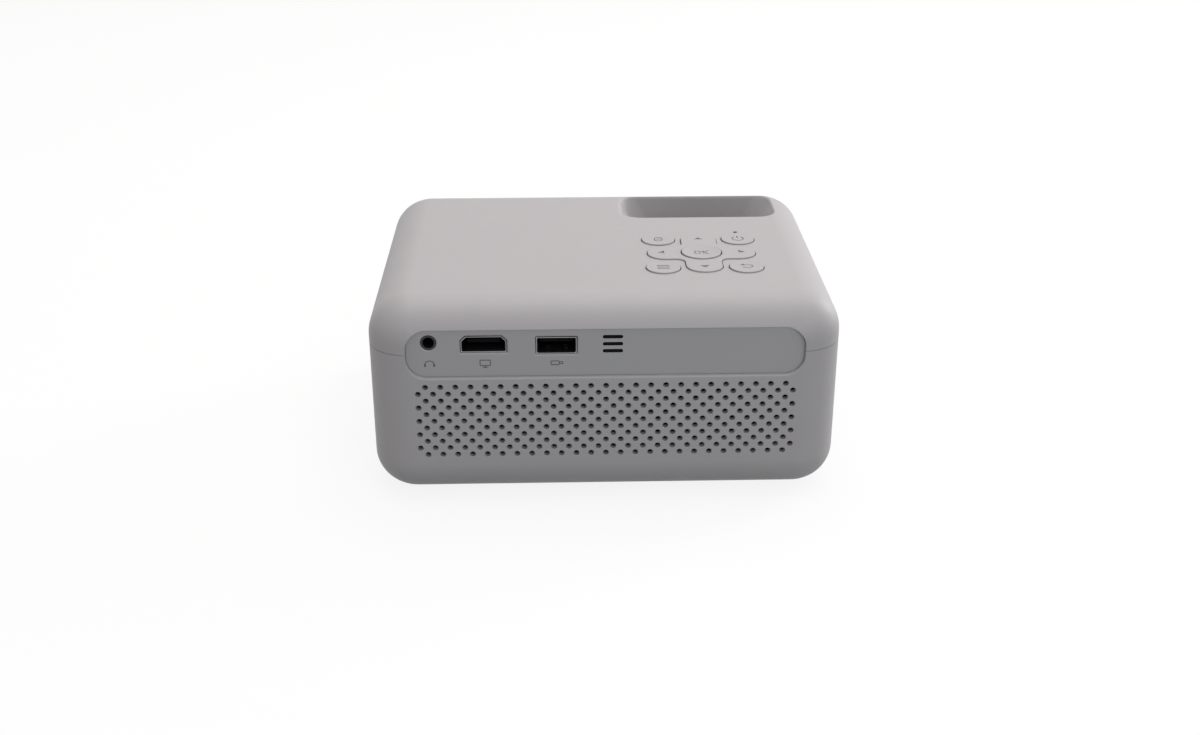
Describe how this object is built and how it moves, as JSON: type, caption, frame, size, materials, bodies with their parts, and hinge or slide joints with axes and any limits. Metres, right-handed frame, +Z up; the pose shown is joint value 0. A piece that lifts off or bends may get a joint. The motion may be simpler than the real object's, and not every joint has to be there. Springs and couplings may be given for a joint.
{
  "type": "projector",
  "caption": "Small boxy desktop projector with rounded edges, a key pad and focus-wheel pocket on top, and rear sockets above a perforated grille.",
  "frame": {"origin": "centre of the footprint, on the surface that the feet stand on", "axes": "+Z up, -Y out of the rear face with the sockets, +Y along the lens, +X towards the lens side, which is the right as seen from the rear"},
  "size_m": [0.1586, 0.126, 0.0723],
  "materials": {
    "shell_plastic": "fine matte moulded",
    "panel_plastic": "fine matte moulded, slightly smoother than the shells",
    "black_plastic": "satin black",
    "dark_plastic": "matte dark grey",
    "rubber": "matte rubber",
    "silicone": "soft silicone",
    "circuit_board": "green solder mask",
    "plated_steel": "bright nickel plated",
    "brass": "machined",
    "aluminium": "extruded, clear anodised",
    "lens_glass": "polished, coated",
    "lcd_glass": "polished dark glass",
    "mirror_coating": "front-coated mirror",
    "phosphor": "yellow phosphor",
    "white_board": "white solder mask on metal",
    "light_pipe": "smoked clear plastic, unlit",
    "screen_cloth": "fine woven screen",
    "cone_paper": "treated paper"
  },
  "bodies": {
    "chassis": {"upper_shell": "shell_plastic", "lower_shell": "shell_plastic", "foot_rear_left": "rubber", "foot_rear_right": "rubber", "foot_front_left": "rubber", "foot_front_right": "rubber", "tripod_insert": "brass", "case_screw_rear_left": "plated_steel", "case_screw_rear_right": "plated_steel", "case_screw_front_left": "plated_steel", "case_screw_front_right": "plated_steel", "board_screw_rear": "plated_steel", "board_screw_left": "plated_steel", "board_screw_right": "plated_steel", "port_panel": "panel_plastic", "main_board": "circuit_board", "ir_receiver": "black_plastic", "video_socket": "plated_steel", "video_tongue": "black_plastic", "data_socket": "plated_steel", "data_tongue": "black_plastic", "audio_jack": "black_plastic", "keypad_board": "circuit_board", "status_light": "light_pipe", "lens_mount": "dark_plastic", "focus_ring_clip": "plated_steel", "lens_bezel": "black_plastic", "optical_housing": "dark_plastic", "condenser_lens": "lens_glass", "lcd_cell": "lcd_glass", "field_lens": "lens_glass", "mirror": "mirror_coating", "reflector": "mirror_coating", "led_chip": "phosphor", "led_board": "white_board", "heat_sink": "aluminium", "fan_frame": "black_plastic", "speaker_basket": "dark_plastic", "speaker_magnet": "plated_steel", "dust_screen": "screen_cloth", "dc_inlet": "black_plastic", "dc_inlet_pin": "plated_steel"},
    "source_key": {"source_button": "shell_plastic"},
    "power_key": {"power_button": "shell_plastic"},
    "menu_key": {"menu_button": "shell_plastic"},
    "back_key": {"back_button": "shell_plastic"},
    "ok_key": {"ok_button": "shell_plastic"},
    "rocker_collar": {"dpad_collar": "silicone"},
    "rocker": {"dpad_rocker": "shell_plastic"},
    "focus_wheel": {"focus_ring": "black_plastic"},
    "lens_carriage": {"lens_barrel": "black_plastic", "lens_retainer": "dark_plastic", "front_lens": "lens_glass", "rear_lens": "lens_glass", "cam_pin": "plated_steel"},
    "fan_wheel": {"fan_rotor": "black_plastic"},
    "speaker_diaphragm": {"speaker_cone": "cone_paper"}
  },
  "joints": [
    {"name": "source_press", "type": "slide", "parent": "chassis", "child": "source_key", "axis": [0, 0, -1], "range_m": [0, 0.0006], "stiffness_N_per_m": 900},
    {"name": "power_press", "type": "slide", "parent": "chassis", "child": "power_key", "axis": [0, 0, -1], "range_m": [0, 0.0006], "stiffness_N_per_m": 900},
    {"name": "menu_press", "type": "slide", "parent": "chassis", "child": "menu_key", "axis": [0, 0, -1], "range_m": [0, 0.0006], "stiffness_N_per_m": 900},
    {"name": "back_press", "type": "slide", "parent": "chassis", "child": "back_key", "axis": [0, 0, -1], "range_m": [0, 0.0006], "stiffness_N_per_m": 900},
    {"name": "ok_press", "type": "slide", "parent": "chassis", "child": "ok_key", "axis": [0, 0, -1], "range_m": [0, 0.0006], "stiffness_N_per_m": 900},
    {"name": "rocker_tilt_up_down", "type": "hinge", "parent": "chassis", "child": "rocker_collar", "pos_m": [0.0354, -0.0136, 0.0667], "axis": [1, 0, 0], "range_deg": [-2.4, 2.4], "stiffness_Nm_per_rad": 0.1},
    {"name": "rocker_tilt_left_right", "type": "hinge", "parent": "rocker_collar", "child": "rocker", "pos_m": [0.0354, -0.0136, 0.0667], "axis": [0, 1, 0], "range_deg": [-2.4, 2.4], "stiffness_Nm_per_rad": 0.1},
    {"name": "focus_turn", "type": "hinge", "parent": "chassis", "child": "focus_wheel", "pos_m": [0.0384, 0.0395, 0.0335], "axis": [0, 1, 0], "range_deg": [-60, 60]},
    {"name": "focus_slide", "type": "slide", "parent": "chassis", "child": "lens_carriage", "axis": [0, 1, 0], "range_m": [-0.0022, 0.0022]},
    {"name": "fan_spin", "type": "hinge", "parent": "chassis", "child": "fan_wheel", "pos_m": [-0.0674, -0.007, 0.0335], "axis": [1, 0, 0], "continuous": true},
    {"name": "speaker_stroke", "type": "slide", "parent": "chassis", "child": "speaker_diaphragm", "axis": [0, 1, 0], "range_m": [-0.0008, 0.0008], "stiffness_N_per_m": 600}
  ],
  "couplings": [
    {"joint": "focus_slide", "follows": "focus_turn", "m_per_rad": 0.0021008}
  ]
}
